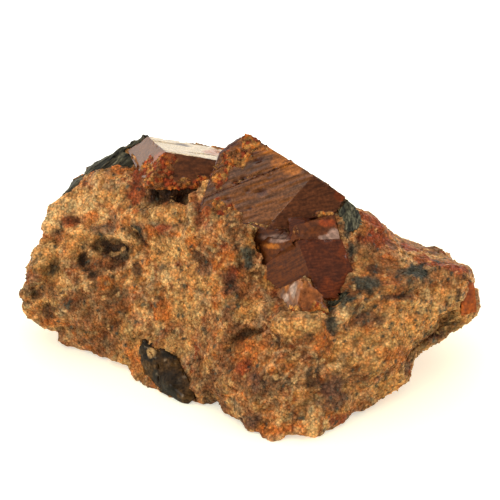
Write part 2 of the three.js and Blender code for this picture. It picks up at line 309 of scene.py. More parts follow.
pixel = film_width / lens_length / photo_side * view_distance / mm
sight_axes = np.array([(1.0, 0.0, 0.0), tuple(view_up), tuple(view_back)])


def in_patch(points, box, ragged, tree=rock_tree):
    """1 inside a box of pixels on a solid, 0 outside, with a ragged edge"""
    left, top, right, bottom = box
    middle = seen_place((left + right) / 2, (top + bottom) / 2, tree)
    half = np.array([right - left, bottom - top, max(right - left, bottom - top)]) * pixel / 2
    away = np.linalg.norm((points - middle) @ sight_axes.T / half, axis=1)
    return 1 - ease(away + ragged, 0.7, 1.25)


# Broad garnet faces on the upper right are smoother than the rest
normals = get_normals(rock.data)
free = 1 - sunk
calm = np.zeros(len(skin))
for box in ((352, 204, 410, 246), (384, 226, 440, 264), (424, 244, 478, 284), (356, 262, 404, 290)):
    calm = np.maximum(calm, in_patch(skin, box, 0.3 * swells(skin, 1.5, 14)))
height = np.zeros(len(skin))
warp = np.stack([swells(skin, 1.6, seed) for seed in (11, 12, 13)], axis=1) * 0.35
for line, width, rise in relief.values():
    away = away_from_line(skin + warp, [seen_place(u, v) for u, v in line])
    height += rise * np.exp(-((away / width) ** 2))

# Broken granular surface: lumps, packed grains, and veins of paler garnet that stand out a little
smooth_face = ease(skin[:, 0], 9, 15)
lump_height = 0.62 * swells(skin, 3.4, 1) + 0.42 * swells(skin, 1.7, 2)
height += lump_height * (1 - 0.55 * np.maximum(smooth_face, calm))
height += 0.16 * swells(skin, 0.9, 3)
first, grain_number = grains(skin + warp * 0.5, 1.1, 5)
height += 0.34 * (0.55 - first) * (1 - 0.75 * calm)
fine_first, fine_number = grains(skin, 0.62, 9)
height += 0.16 * (0.55 - fine_first) * (1 - 0.75 * calm)


def thin_lines(points, size, thickness, seed):
    """A net of thin winding lines: 1 on them and 0 between"""
    return 1 - ease(np.abs(swells(points, size, seed)), 0, thickness)


bent = skin + np.stack([swells(skin, 1.2, seed) for seed in (15, 16, 17)], axis=1) * 0.5
bent[:, 2] *= 1.35
vein = np.maximum(thin_lines(bent, 1.9, 0.3, 18), 0.8 * thin_lines(bent, 1.0, 0.34, 19))
height += 0.13 * vein * (1 - 0.7 * calm)
skin += normals * (height * free)[:, None]
skin[:, 2] = np.maximum(skin[:, 2], 0.0)
set_points(rock.data, skin)
rock.data.shade_smooth()

# Its colours: tan and brown garnet, rusty and orange in places, with dark green pyroxene
tints = {
    "tan": (0.62, 0.30, 0.085),
    "ochre": (0.46, 0.205, 0.05),
    "orange": (0.50, 0.14, 0.02),
    "rust": (0.27, 0.045, 0.009),
    "brown": (0.23, 0.083, 0.024),
    "dusk": (0.17, 0.064, 0.021),
    "plum": (0.15, 0.065, 0.038),
    "umber": (0.07, 0.03, 0.011),
    "green_black": (0.05, 0.052, 0.036),
    "pale": (0.82, 0.47, 0.18),
    "cream": (0.85, 0.58, 0.30),
}
patches = {
    "dusk": [
        (78, 252, 124, 276), (80, 272, 132, 318), (30, 270, 60, 320), (92, 300, 136, 340),
        (60, 292, 100, 322), (186, 372, 240, 400), (318, 372, 352, 398), (340, 358, 382, 386),
        (214, 336, 264, 394), (204, 398, 244, 420), (218, 300, 246, 336), (62, 314, 124, 352),
        (234, 376, 284, 402), (240, 418, 264, 440), (284, 320, 320, 342), (342, 362, 384, 384),
        (94, 336, 122, 356), (200, 316, 224, 346), (338, 276, 366, 304),
    ],
    "pale": [
        (158, 262, 184, 284), (38, 188, 112, 216), (40, 204, 66, 236), (22, 240, 60, 266),
        (84, 206, 116, 220), (160, 246, 184, 262), (168, 296, 196, 318), (164, 340, 182, 356),
        (412, 340, 432, 362), (42, 196, 84, 208), (66, 208, 96, 222), (48, 200, 98, 214),
        (66, 228, 104, 236), (104, 229, 136, 243), (130, 190, 150, 204), (303, 408, 319, 434),
        (292, 318, 322, 330), (338, 306, 352, 324), (400, 300, 440, 312),
    ],
    "tan": [
        (140, 236, 200, 268), (164, 262, 214, 292), (160, 286, 208, 332), (158, 330, 196, 364),
        (60, 228, 110, 246), (24, 234, 66, 270), (60, 244, 84, 262), (440, 316, 472, 336),
        (366, 372, 420, 400), (330, 336, 360, 356), (430, 306, 470, 336), (380, 384, 410, 400),
        (40, 262, 62, 282), (236, 246, 262, 260), (96, 190, 140, 206), (36, 296, 62, 318),
        (118, 322, 140, 346), (60, 188, 100, 200), (138, 205, 198, 224), (205, 202, 232, 226),
        (345, 318, 440, 372), (360, 298, 460, 330), (266, 318, 330, 336), (232, 300, 262, 322),
        (170, 268, 232, 290), (366, 286, 402, 296), (371, 224, 391, 234), (430, 285, 456, 305),
        (354, 248, 379, 272),
    ],
    "orange": [
        (110, 162, 128, 180), (44, 312, 70, 326), (150, 300, 176, 320), (84, 211, 104, 222),
        (118, 214, 134, 228), (140, 226, 162, 236), (236, 268, 248, 300), (315, 323, 336, 352),
        (232, 336, 272, 368), (250, 240, 290, 250), (378, 254, 396, 266), (374, 272, 402, 286),
        (99, 274, 112, 292), (128, 350, 146, 378), (250, 422, 290, 436), (216, 247, 236, 262),
        (440, 255, 472, 268), (186, 236, 200, 248), (376, 345, 420, 368),
    ],
    "brown": [
        (124, 164, 160, 186), (120, 182, 150, 202), (218, 206, 246, 240), (340, 278, 364, 300),
        (176, 392, 206, 412), (210, 404, 240, 420), (222, 326, 246, 346), (240, 420, 262, 440),
        (238, 256, 260, 284), (360, 256, 404, 276), (416, 262, 462, 290), (362, 280, 392, 296),
        (226, 262, 250, 300), (352, 232, 384, 262), (384, 258, 404, 284), (426, 252, 452, 268),
        (392, 284, 420, 296), (356, 206, 398, 238), (392, 232, 446, 262), (436, 250, 474, 280),
        (380, 262, 402, 280),
    ],
    "rust": [
        (366, 214, 392, 232), (400, 240, 424, 258), (444, 262, 470, 276), (412, 256, 440, 268),
        (356, 210, 377, 224), (358, 229, 395, 250), (416, 251, 438, 266), (196, 198, 209, 222),
        (122, 166, 150, 186), (124, 182, 152, 204), (192, 192, 213, 226), (150, 152, 172, 166),
        (160, 222, 166, 232), (328, 412, 352, 426), (225, 262, 237, 285), (56, 214, 82, 226),
        (150, 224, 172, 232), (236, 360, 252, 374),
    ],
    "plum": [
        (222, 273, 238, 294), (240, 408, 260, 430), (351, 310, 382, 329), (84, 225, 122, 236),
        (380, 294, 416, 300), (318, 380, 352, 412), (196, 262, 214, 276), (246, 374, 262, 396),
        (385, 240, 400, 252),
    ],
    "umber": [
        (405, 262, 433, 282), (202, 402, 224, 420), (238, 424, 262, 442), (366, 264, 380, 276),
        (94, 237, 127, 257), (146, 178, 192, 206), (78, 250, 88, 266), (86, 270, 97, 279),
        (304, 370, 322, 390), (455, 282, 460, 308), (461, 272, 468, 281), (30, 258, 44, 270),
        (190, 250, 204, 262), (130, 262, 142, 278), (262, 372, 266, 392), (40, 300, 60, 320),
    ],
    "green_black": [
        (322, 294, 338, 318), (326, 312, 338, 336), (333, 292, 356, 306), (338, 300, 350, 312),
        (400, 260, 432, 288), (354, 274, 380, 292), (341, 224, 350, 244), (346, 240, 355, 262),
        (412, 266, 432, 280), (123, 224, 143, 239), (47, 262, 57, 280), (358, 278, 377, 291),
        (403, 265, 429, 284), (236, 246, 260, 260), (432, 258, 441, 264), (339, 292, 352, 304),
        (186, 170, 198, 180), (280, 276, 298, 286), (244, 258, 252, 270),
    ],
}
patch_strength = {
    "dusk": 0.7, "pale": 0.85, "tan": 0.65, "orange": 0.75, "brown": 0.72, "rust": 0.8,
    "plum": 0.75, "umber": 0.85, "green_black": 0.9,
}


def lay(ground, tint, share):
    return ground + (np.array(tint) - ground) * share[:, None]


broad = swells(skin, 5.5, 21)
middling = swells(skin, 2.1, 22)
ragged = 0.45 * swells(skin, 1.3, 23) + 0.25 * swells(skin, 0.7, 24)
# Painted light from above: the more the skin faces up, the paler it is painted, on top of the rock's own
# tone.
top_light_share = ease(get_normals(rock.data)[:, 2], 0.2, 0.9)
right_face = smooth_face * ease(-skin[:, 1] + 0.35 * skin[:, 0], -11, -7)
tone_and_top_light = 0.42 + 0.3 * broad + 0.32 * middling + 0.2 * top_light_share + 0.2 * right_face
ground = np.tile(np.array(tints["brown"]), (len(skin), 1))
ground = lay(ground, tints["ochre"], ease(tone_and_top_light, 0.2, 0.55))
ground = lay(ground, tints["tan"], ease(tone_and_top_light, 0.55, 0.95))
ground = lay(ground, tints["orange"], 0.7 * ease(swells(skin, 3.1, 25) + 0.5 * ragged, 0.25, 0.6))
ground = lay(ground, tints["umber"], 0.8 * ease(swells(skin, 2.6, 26) + 0.5 * ragged, 0.25, 0.65))
ground = lay(ground, tints["rust"], 0.7 * ease(swells(skin, 2.0, 27) + 0.4 * ragged, 0.5, 0.8))
spot_number = grains(skin + warp, 1.7, 28)[1]
spots = {"rust": (0.0, 0.16), "dusk": (0.16, 0.36), "orange": (0.36, 0.54), "pale": (0.54, 0.66)}
for tint, (low, high) in spots.items():
    ground = lay(ground, tints[tint], 0.45 * ((spot_number >= low) & (spot_number < high)))
ground = lay(ground, tints["cream"], 0.26 * vein * (1 - 0.7 * calm))
for tint, boxes in patches.items():
    share = np.zeros(len(skin))
    for box in boxes:
        share = np.maximum(share, in_patch(skin, box, ragged))
    ground = lay(ground, tints[tint], share * patch_strength[tint])
# Painted shade: the skin is darkened where its relief dips into pits, slots and cracks.
hollow_shade = ease(-height, 0.15, 0.9)
ground *= (1 - 0.6 * hollow_shade)[:, None]
grain_edge = ease(first, 0.45, 0.95)
shades = (0.66 + 0.46 * grain_number) * (0.82 + 0.32 * fine_number) * (1.08 - 0.42 * grain_edge)
ground *= (shades + (0.95 - shades) * 0.6 * calm)[:, None]
redness = 2 * grains(skin, 0.85, 29)[1] - 1
ground *= 1 + redness[:, None] * np.array([0.06, -0.08, -0.22])
specks = (fine_number < 0.05 + 0.12 * right_face) * (fine_first < 0.45)
ground = lay(ground, tints["green_black"], 0.85 * specks)
sparkle = fine_number > 0.965
ground = lay(ground, tints["pale"], 0.45 * sparkle)


def keep_colours(mesh, name, colours):
    """Writes one colour for each vertex"""
    layer = mesh.color_attributes.new(name, "FLOAT_COLOR", "POINT")
    layer.data.foreach_set("color", np.column_stack([colours, np.ones(len(colours))]).ravel())


keep_colours(rock.data, "ground", np.clip(ground, 0, 1))


def add(tree, kind, inputs=(), **settings):
    """One shader node: its settings, and a value or another node's output for each input"""
    made = tree.nodes.new(kind)
    for name, value in settings.items():
        setattr(made, name, value)
    for name, value in dict(inputs).items():
        if isinstance(value, bpy.types.NodeSocket):
            tree.links.new(value, made.inputs[name])
        else:
            made.inputs[name].default_value = value
    return made


def mix(tree, share, first_colour, second_colour, way="MIX"):
    """The colour that lies between two others"""
    made = add(tree, "ShaderNodeMix", data_type="RGBA", blend_type=way)
    for index, value in ((0, share), (6, first_colour), (7, second_colour)):
        if isinstance(value, bpy.types.NodeSocket):
            tree.links.new(value, made.inputs[index])
        else:
            made.inputs[index].default_value = value if index == 0 else (*value, 1.0)[:4]
    return made.outputs[2]


def stretch(tree, value, low, high, to_low=0.0, to_high=1.0):
    """A value's range, spread over another range"""
    limits = {"From Min": low, "From Max": high, "To Min": to_low, "To Max": to_high}
    return add(tree, "ShaderNodeMapRange", {"Value": value, **limits}).outputs["Result"]


def start_material(name):
    """An empty material: its tree, its shader and the object's own coordinates"""
    made = bpy.data.materials.new(name)
    made.use_nodes = True
    tree = made.node_tree
    tree.nodes.clear()
    shader = add(tree, "ShaderNodeBsdfPrincipled")
    output = add(tree, "ShaderNodeOutputMaterial", {"Surface": shader.outputs["BSDF"]})
    output.location = (300, 0)
    place = add(tree, "ShaderNodeTexCoord").outputs["Object"]
    return made, tree, shader, place


def wear(made, material):
    made.data.materials.clear()
    made.data.materials.append(material)


grain_material, tree, shader, place = start_material("garnet_rock")
painted = add(tree, "ShaderNodeVertexColor", layer_name="ground").outputs["Color"]
grain = add(tree, "ShaderNodeTexVoronoi", {"Vector": place, "Scale": 2600.0})
grain_number_colour = add(tree, "ShaderNodeSeparateColor", {"Color": grain.outputs["Color"]})
grain_shade = grain_number_colour.outputs["Red"]
grain_hue = grain_number_colour.outputs["Green"]
dust = add(tree, "ShaderNodeTexNoise", {"Vector": place, "Scale": 4200.0, "Detail": 3.0})
shaded = mix(tree, 1.0, painted, stretch(tree, grain_shade, 0, 1, 0.8, 1.24), "MULTIPLY")
shaded = mix(tree, 1.0, shaded, stretch(tree, dust.outputs["Fac"], 0.3, 0.7, 0.75, 1.25), "MULTIPLY")
grain_tint = mix(tree, grain_hue, (1.1, 0.92, 0.78), (0.94, 1.02, 1.0))
shaded = mix(tree, 1.0, shaded, grain_tint, "MULTIPLY")
gaps = stretch(tree, grain.outputs["Distance"], 0.35, 0.75, 1.15, 0.6)
shaded = mix(tree, 1.0, shaded, gaps, "MULTIPLY")
bump_height = add(tree, "ShaderNodeMath", {
    0: grain.outputs["Distance"], 1: dust.outputs["Fac"],
}, operation="SUBTRACT")
bump = add(tree, "ShaderNodeBump", {
    "Height": bump_height.outputs[0], "Strength": 1.0, "Distance": 0.16 * mm,
}, invert=True)
tree.links.new(shaded, shader.inputs["Base Color"])
tree.links.new(stretch(tree, grain_shade, 0, 1, 0.85, 0.4), shader.inputs["Roughness"])
tree.links.new(bump.outputs["Normal"], shader.inputs["Normal"])
shader.inputs["IOR"].default_value = 1.25
wear(rock, grain_material)
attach(rock, "root")
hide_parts("matrix_rock")

# Loose crumbs of garnet that sit on the broken surface, each one a small broken crystal. Paler and
# darker ones lie mixed all over the rock, except on its smooth faces and its worn foot.
open_rock = (free > 0.95) & (skin[:, 2] > 0.8) & (calm < 0.5)


def keep_numbers(mesh, name, numbers):
    """Writes one number for each vertex"""
    layer = mesh.attributes.new(name, "FLOAT", "POINT")
    layer.data.foreach_set("value", numbers.astype(float))


keep_numbers(rock.data, "crumbs_here", open_rock)


def crumb_nodes(name):
    """Nodes that scatter small broken crystals, tinted like the rock under them"""
    tree = bpy.data.node_groups.new(name, "GeometryNodeTree")
    tree.is_modifier = True
    tree.interface.new_socket("Rock", in_out="INPUT", socket_type="NodeSocketGeometry")
    for label in ("Crumbs per square metre", "Smallest", "Largest", "Darkest", "Palest"):
        tree.interface.new_socket(label, in_out="INPUT", socket_type="NodeSocketFloat")
    tree.interface.new_socket("Seed", in_out="INPUT", socket_type="NodeSocketInt")
    tree.interface.new_socket("Crumbs", in_out="OUTPUT", socket_type="NodeSocketGeometry")
    given = add(tree, "NodeGroupInput").outputs
    bare = add(tree, "GeometryNodeInputNamedAttribute", {"Name": "crumbs_here"}, data_type="FLOAT")
    density = add(tree, "ShaderNodeMath", {
        0: given["Crumbs per square metre"], 1: bare.outputs["Attribute"],
    }, operation="MULTIPLY")
    scatter = add(tree, "GeometryNodeDistributePointsOnFaces", {
        "Mesh": given["Rock"], "Density": density.outputs[0], "Seed": given["Seed"],
    })
    under = add(tree, "GeometryNodeInputNamedAttribute", {"Name": "ground"}, data_type="FLOAT_COLOR")
    shade = add(tree, "FunctionNodeRandomValue", {
        2: given["Darkest"], 3: given["Palest"], "Seed": given["Seed"],
    }, data_type="FLOAT")
    tinted = add(tree, "ShaderNodeVectorMath", {
        0: under.outputs["Attribute"], "Scale": shade.outputs[1],
    }, operation="SCALE")
    painted = add(tree, "GeometryNodeStoreNamedAttribute", {
        "Geometry": scatter.outputs["Points"], "Name": "ground", "Value": tinted.outputs["Vector"],
    }, data_type="FLOAT_COLOR", domain="POINT")
    size = add(tree, "FunctionNodeRandomValue", {
        "Min": given["Smallest"], "Max": given["Largest"], "Seed": given["Seed"],
    }, data_type="FLOAT_VECTOR")
    turn = add(tree, "FunctionNodeRandomValue", {
        "Max": (2 * math.pi,) * 3, "Seed": given["Seed"],
    }, data_type="FLOAT_VECTOR")
    crumb = add(tree, "GeometryNodeMeshIcoSphere", {"Radius": 1.0, "Subdivisions": 1})
    strewn = add(tree, "GeometryNodeInstanceOnPoints", {
        "Points": painted.outputs["Geometry"], "Instance": crumb.outputs["Mesh"],
        "Rotation": turn.outputs["Value"], "Scale": size.outputs["Value"],
    })
    made = add(tree, "GeometryNodeRealizeInstances", {"Geometry": strewn.outputs["Instances"]})
    dressed = add(tree, "GeometryNodeSetMaterial", {
        "Geometry": made.outputs["Geometry"], "Material": grain_material,
    })
    add(tree, "NodeGroupOutput", {"Crumbs": dressed.outputs["Geometry"]})
    return tree


def strew(name, under, per_square_mm, smallest, largest, darkest, palest, seed):
    """One set of crumbs on the rock, or on the gritty parts of a crystal"""
    made = new_object(name, under.data.copy())
    nodes = made.modifiers.new("crumbs", "NODES")
    nodes.node_group = crumb_nodes(name)
    values = {
        "Crumbs per square metre": per_square_mm / mm**2, "Smallest": smallest * mm,
        "Largest": largest * mm, "Darkest": darkest, "Palest": palest, "Seed": seed,
    }
    for socket in nodes.node_group.interface.items_tree:
        if socket.name in values:
            nodes[socket.identifier] = values[socket.name]
    settle(made)
    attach(made, "root")


strew("pale_crumbs", rock, 1.3, 0.08, 0.21, 0.9, 1.35, 3)
strew("dark_crumbs", rock, 0.8, 0.08, 0.2, 0.55, 1.0, 4)

# The big crystal: dark red-brown garnet with a second crystal grown into its front. Its upper left
# face grew in steps, which show as stripes with a painted grey sheen on some of them, and its thin
# edges let orange light through.
crystal_step = 0.32 * mm
sharp_turn = math.radians(12)


def facing(heading, tilt):
    """The way a crystal face looks: heading from +X towards +Y and tilt above the horizon"""
    level = math.cos(math.radians(tilt))
    turn = math.radians(heading)
    return np.array([level * math.cos(turn), level * math.sin(turn), math.sin(math.radians(tilt))])


def split_long_edges(points, triangles, longest):
    """Halves the edges longer than that until none is left; each triangle is cut at its longest"""
    while True:
        sides = np.sort(triangles[:, [[0, 1], [1, 2], [2, 0]]].reshape(-1, 2), axis=1)
        edges, number = np.unique(sides, axis=0, return_inverse=True)
        number = number.reshape(-1, 3)
        length = np.linalg.norm(points[edges[:, 0]] - points[edges[:, 1]], axis=1)
        long = length > longest
        if not long.any():
            return points, triangles
        middle = np.full(len(edges), -1)
        middle[long] = len(points) + np.arange(long.sum())
        points = np.concatenate([points, points[edges[long]].mean(axis=1)])
        turn = (length[number].argmax(axis=1)[:, None] + np.arange(3)) % 3
        rows = np.arange(len(triangles))[:, None]
        a, b, c = triangles[rows, turn].T
        ab, bc, ca = middle[number[rows, turn]].T
        pieces = [triangles[ab < 0]]
        for near, far, outer in ((c, a, ca), (b, c, bc)):
            whole = (ab >= 0) & (outer < 0)
            split = (ab >= 0) & (outer >= 0)
            pieces.append(np.stack([ab, near, far], axis=1)[whole])
            pieces.append(np.stack([ab, near, outer], axis=1)[split])
            pieces.append(np.stack([ab, outer, far], axis=1)[split])
        triangles = np.concatenate(pieces)


def fine_crystal(mesh, name, longest):
    """A crystal with its flat faces split finely and its edges kept sharp"""
    points = np.array([vertex.co for vertex in mesh.verts])
    triangles = np.array([[vertex.index for vertex in face.verts] for face in mesh.faces])
    sharp = [edge for edge in mesh.edges if edge.calc_face_angle(0.0) > sharp_turn]
    ends = [[np.array((corner.co - datum) / mm) for corner in edge.verts] for edge in sharp]
    mesh.free()
    points, triangles = split_long_edges(points, triangles, longest)
    data = bpy.data.meshes.new(name)
    data.from_pydata(points, [], triangles)
    fine = bmesh.new()
    fine.from_mesh(data)
    bpy.data.meshes.remove(data)
    for face in fine.faces:
        face.smooth = True
    for edge in fine.edges:
        edge.smooth = edge.calc_face_angle(0.0) < sharp_turn
    made = new_object(name, fine)
    points = get_points(made.data)
    to_edge = np.full(len(points), 1e3)
    for start, end in ends:
        to_edge = np.minimum(to_edge, away_from_line(points, [start, end]))
    return made, points, get_normals(made.data), to_edge


def on_face(normals, heading, tilt):
    """1 on the crystal face that looks that way"""
    return ease(normals @ facing(heading, tilt), 0.94, 0.98)


def chip(points, to_edge, depth, seed):
    """How far the edges are worn and chipped"""
    notches = ease(swells(points, 0.9, seed) + 0.5 * swells(points, 0.35, seed + 1), 0.1, 0.8)
    return depth * notches * (1 - ease(to_edge, 0.05, 0.5))


def grit_share(points, boxes, tree, seed):
    """Where rock grains have grown over a crystal: 1 in boxes of pixels, ragged at their edges"""
    ragged = 0.5 * swells(points, 1.2, seed) + 0.3 * swells(points, 0.6, seed + 1)
    share = np.zeros(len(points))
    for box in boxes:
        share = np.maximum(share, in_patch(points, box, ragged, tree))
    return ease(share, 0.3, 0.7)


def grit_height(points, share, seed):
    """How far those grains stand out of the crystal's face"""
    first, _ = grains(points, 0.62, seed)
    small, _ = grains(points, 0.45, seed + 20)
    lumps = 0.12 * swells(points, 1.9, seed + 1)
    return share * (0.1 + 0.35 * (0.6 - first) + 0.16 * (0.6 - small) + lumps)


def lay_grit(points, ground, share, seed, mixture=("brown", "ochre", "tan", "orange", "ochre", "rust")):
    """The grains' colours, one tint for each grain"""
    first, number = grains(points, 0.62, seed)
    _, small_number = grains(points, 0.45, seed + 20)
    colours = np.array([tints[tint] for tint in mixture])
    grit = colours[(number * (len(mixture) - 0.01)).astype(int)]
    grit = grit * ((0.65 + 0.6 * small_number) * (1.1 - 0.5 * ease(first, 0.45, 0.9)))[:, None]
    return ground + (grit - ground) * share[:, None]


def way_between(start, end, tree):
    """The way along a solid from one pixel to another, which its growth stripes follow"""
    along = seen_place(*end, tree) - seen_place(*start, tree)
    along /= np.linalg.norm(along)
    return along


big_copy = merged_copy("main_garnet_crystal")
big, points, normals, to_edge = fine_crystal(big_copy, "big_garnet_crystal", crystal_step)
big_tree = solid_trees["main_garnet_crystal"]
terrace_way = facing(-111, 45)
upper_left = on_face(normals, -111, 45)
right_side = on_face(normals, -83, 28)
front_side = on_face(normals, -60, 35)
left_front = on_face(normals, -122, 14)
stripe_way = way_between((215, 200), (283, 178), big_tree)
across_way = np.cross(terrace_way, stripe_way)
terrace = points @ terrace_way
slope = np.stack([points @ stripe_way, points @ across_way, np.ones(len(points))], axis=1)
on_terrace = upper_left > 0.5
level = slope @ np.linalg.lstsq(slope[on_terrace], terrace[on_terrace], rcond=None)[0]
off_level = terrace - level
other_face = np.maximum(np.maximum(right_side, front_side), left_front) > 0.3
near_level = (np.abs(off_level) < 1.2) & (normals @ terrace_way > 0.0) & ~other_face
sink = np.where(near_level, 0.7 * off_level * (1 - ease(np.abs(off_level), 0.7, 1.2)), 0.0)
points = points - sink[:, None] * terrace_way
across = points @ across_way + 0.25 * swells(points, 5.0, 31)
along = points @ stripe_way
streak = np.stack([across, along * 0.12, points @ terrace_way * 0.3], axis=1)
step_height = 0.07 * swells(streak, 0.45, 33) + 0.08 * swells(streak, 1.3, 30)
pits = {
    (258, 160): (5, 0.35), (243, 178): (4, 0.3), (262, 192): (6, 0.3), (236, 182): (4, 0.3),
    (248, 191): (3, 0.25), (228, 199): (4, 0.3), (250, 208): (3, 0.25), (270, 176): (3, 0.2),
}
pit_depth = np.zeros(len(points))
for (u, v), (size, depth) in pits.items():
    middle = seen_place(u, v, big_tree)
    away = (points - middle) @ np.stack([stripe_way / 1.6, across_way, terrace_way], axis=1)
    pit_depth = np.maximum(pit_depth, depth * (1 - ease(np.linalg.norm(away, axis=1), 0, size * pixel)))
big_grit = grit_share(points, [
    (238, 134, 266, 149), (222, 146, 246, 170), (212, 166, 230, 186), (206, 200, 232, 230),
    (226, 224, 250, 236), (316, 211, 334, 218), (256, 246, 270, 262),
], big_tree, 43)
rough = 0.015 * swells(points, 0.8, 34) + 0.01 * swells(points, 0.4, 35)
relief_height = upper_left * (step_height - pit_depth) + rough - chip(points, to_edge, 0.18, 36)
relief_height = relief_height * (1 - big_grit) + 0.8 * grit_height(points, big_grit, 45)
set_points(big.data, points + normals * relief_height[:, None])

big_tints = {
    "mahogany": (0.074, 0.017, 0.005),
    "amber brown": (0.105, 0.026, 0.004),
    "block brown": (0.115, 0.031, 0.008),
    "stripe brown": (0.155, 0.05, 0.010),
    "grey sheen stripe": (0.115, 0.046, 0.018),
    "chocolate": (0.084, 0.024, 0.007),
    "translucent orange": (0.38, 0.115, 0.014),
    "translucent red": (0.15, 0.027, 0.004),
    "red flash": (0.27, 0.045, 0.008),
    # Lilac is laid as a painted reflection of the sky on smooth faces that look up.
    "lilac": (0.34, 0.2, 0.14),
    "pit": (0.06, 0.014, 0.004),
}
big_patches = {
    "translucent orange": [
        (272, 152, 308, 170), (256, 144, 284, 156), (254, 262, 266, 288), (284, 166, 300, 176),
        (266, 240, 292, 250),
    ],
    "translucent red": [
        (340, 272, 358, 296), (334, 186, 348, 202), (318, 278, 342, 298), (256, 252, 272, 262),
        (338, 244, 350, 262), (300, 222, 322, 238),
    ],
    "red flash": [(320, 220, 339, 227)],
    # The lilac boxes are a painted reflection of the sky on the front crystal's top and the right end of
    # its block.
    "lilac": [(322, 229, 341, 239), (240, 232, 266, 237), (262, 234, 292, 242)],
}


def paint_crystal(points, ground, tint_table, patch_table, tree, seed, strength=0.8):
    """Lays a crystal's coloured patches, placed by boxes of pixels, over its ground colour"""
    ragged = 0.35 * swells(points, 1.5, seed) + 0.2 * swells(points, 0.6, seed + 1)
    for tint, boxes in patch_table.items():
        for box in boxes:
            ground = lay(ground, tint_table[tint], strength * in_patch(points, box, ragged, tree))
    return ground


cloud = 0.5 + 0.5 * swells(points, 2.4, 37)
ground = np.tile(np.array(big_tints["mahogany"]), (len(points), 1))
ground = lay(ground, big_tints["translucent red"], 0.3 * cloud * front_side)
ground = lay(ground, big_tints["amber brown"], left_front)
ground = lay(ground, big_tints["chocolate"], right_side)
band = 0.5 + 0.5 * swells(streak, 0.9, 38)
ground = lay(ground, big_tints["stripe brown"], upper_left)
# Painted sheen: grey bands along the growth steps, where they catch the light.
ground = lay(ground, big_tints["grey sheen stripe"], upper_left * ease(band, 0.45, 0.75))
ground = lay(ground, big_tints["mahogany"], 0.7 * upper_left * ease(swells(streak, 0.5, 39), 0.35, 0.6))
ground = paint_crystal(points, ground, big_tints, big_patches, big_tree, 40)
# Painted shade: the pits on the upper left face are darkened by their depth.
ground = lay(ground, big_tints["pit"], 0.8 * ease(pit_depth, 0.05, 0.2) * upper_left)
ground *= (0.85 + 0.3 * (0.5 + 0.5 * swells(points, 0.8, 42)))[:, None]
ground = lay_grit(points, ground, big_grit, 45, ("brown", "ochre", "brown", "orange", "ochre", "rust"))


def keep_vectors(mesh, name, vectors):
    """Writes one vector for each vertex"""
    layer = mesh.attributes.new(name, "FLOAT_VECTOR", "POINT")
    layer.data.foreach_set("vector", vectors.ravel())


keep_colours(big.data, "ground", np.clip(ground, 0, 1))
keep_vectors(big.data, "streak", streak)


def garnet_material(name, gloss, roughness, fleck_share=0.35, stripe_bump=0.03):
    """Garnet that shows its painted ground, fine streaks and flecks, under a glassy face"""
    made, tree, shader, place = start_material(name)
    painted = add(tree, "ShaderNodeVertexColor", layer_name="ground").outputs["Color"]
    streaked = add(tree, "ShaderNodeAttribute", attribute_name="streak").outputs["Vector"]
    lines = add(tree, "ShaderNodeTexNoise", {"Vector": streaked, "Scale": 4.0, "Detail": 4.0})
    flecks = add(tree, "ShaderNodeTexNoise", {"Vector": place, "Scale": 2600.0, "Detail": 3.0})
    low, high = 1 - fleck_share, 1 + fleck_share
    shaded = mix(tree, 1.0, painted, stretch(tree, lines.outputs["Fac"], 0.35, 0.65, low, high), "MULTIPLY")
    shaded = mix(tree, 1.0, shaded, stretch(tree, flecks.outputs["Fac"], 0.3, 0.7, low, high), "MULTIPLY")
    ridges = add(tree, "ShaderNodeBump", {
        "Height": lines.outputs["Fac"], "Strength": 1.0, "Distance": stripe_bump * mm,
    })
    etched = add(tree, "ShaderNodeBump", {
        "Height": flecks.outputs["Fac"], "Strength": 0.5, "Distance": 0.02 * mm,
        "Normal": ridges.outputs["Normal"],
    })
    tree.links.new(shaded, shader.inputs["Base Color"])
    dullness = stretch(tree, flecks.outputs["Fac"], 0.3, 0.7, roughness - 0.08, roughness + 0.1)
    tree.links.new(dullness, shader.inputs["Roughness"])
    tree.links.new(etched.outputs["Normal"], shader.inputs["Normal"])
    shader.inputs["IOR"].default_value = gloss
    return made


def by_face(made, materials, number):
    """Gives each face one of several materials"""
    made.data.materials.clear()
    for material in materials:
        made.data.materials.append(material)
    made.data.polygons.foreach_set("material_index", number.astype(int))


def face_vectors(mesh, kind):
    """Every face's normal or center"""
    vectors = np.empty(len(mesh.polygons) * 3)
    mesh.polygons.foreach_get(kind, vectors)
    return vectors.reshape(-1, 3)


def face_means(mesh, values):
    """The mean of the three corners' values for every triangle"""
    corners = np.empty(len(mesh.polygons) * 3, dtype=int)
    mesh.loops.foreach_get("vertex_index", corners)
    return values[corners.reshape(-1, 3)].mean(axis=1)


glassy_garnet = garnet_material("glassy_garnet", 1.43, 0.26)
dull_garnet = garnet_material("dull_garnet", 1.25, 0.5)
face_ways = face_vectors(big.data, "normal")
dull_ways = np.stack([facing(-122, 14), facing(-60, 35), facing(-83, 28)])
is_dull = np.max(face_ways @ dull_ways.T, axis=1) > 0.93
face_places = (face_vectors(big.data, "center") - np.array(datum)) / mm
for place in ((302, 229), (318, 232), (330, 232), (268, 240), (256, 246)):
    is_dull |= np.linalg.norm(face_places - seen_place(*place, big_tree), axis=1) < 2.2
finish = np.where(face_means(big.data, big_grit) > 0.5, 2, is_dull)
by_face(big, [glassy_garnet, dull_garnet, grain_material], finish)
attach(big, "root")
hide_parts("main_garnet_crystal")

keep_numbers(big.data, "crumbs_here", big_grit)
strew("big_crystal_grit", big, 4.0, 0.08, 0.2, 0.65, 1.2, 5)


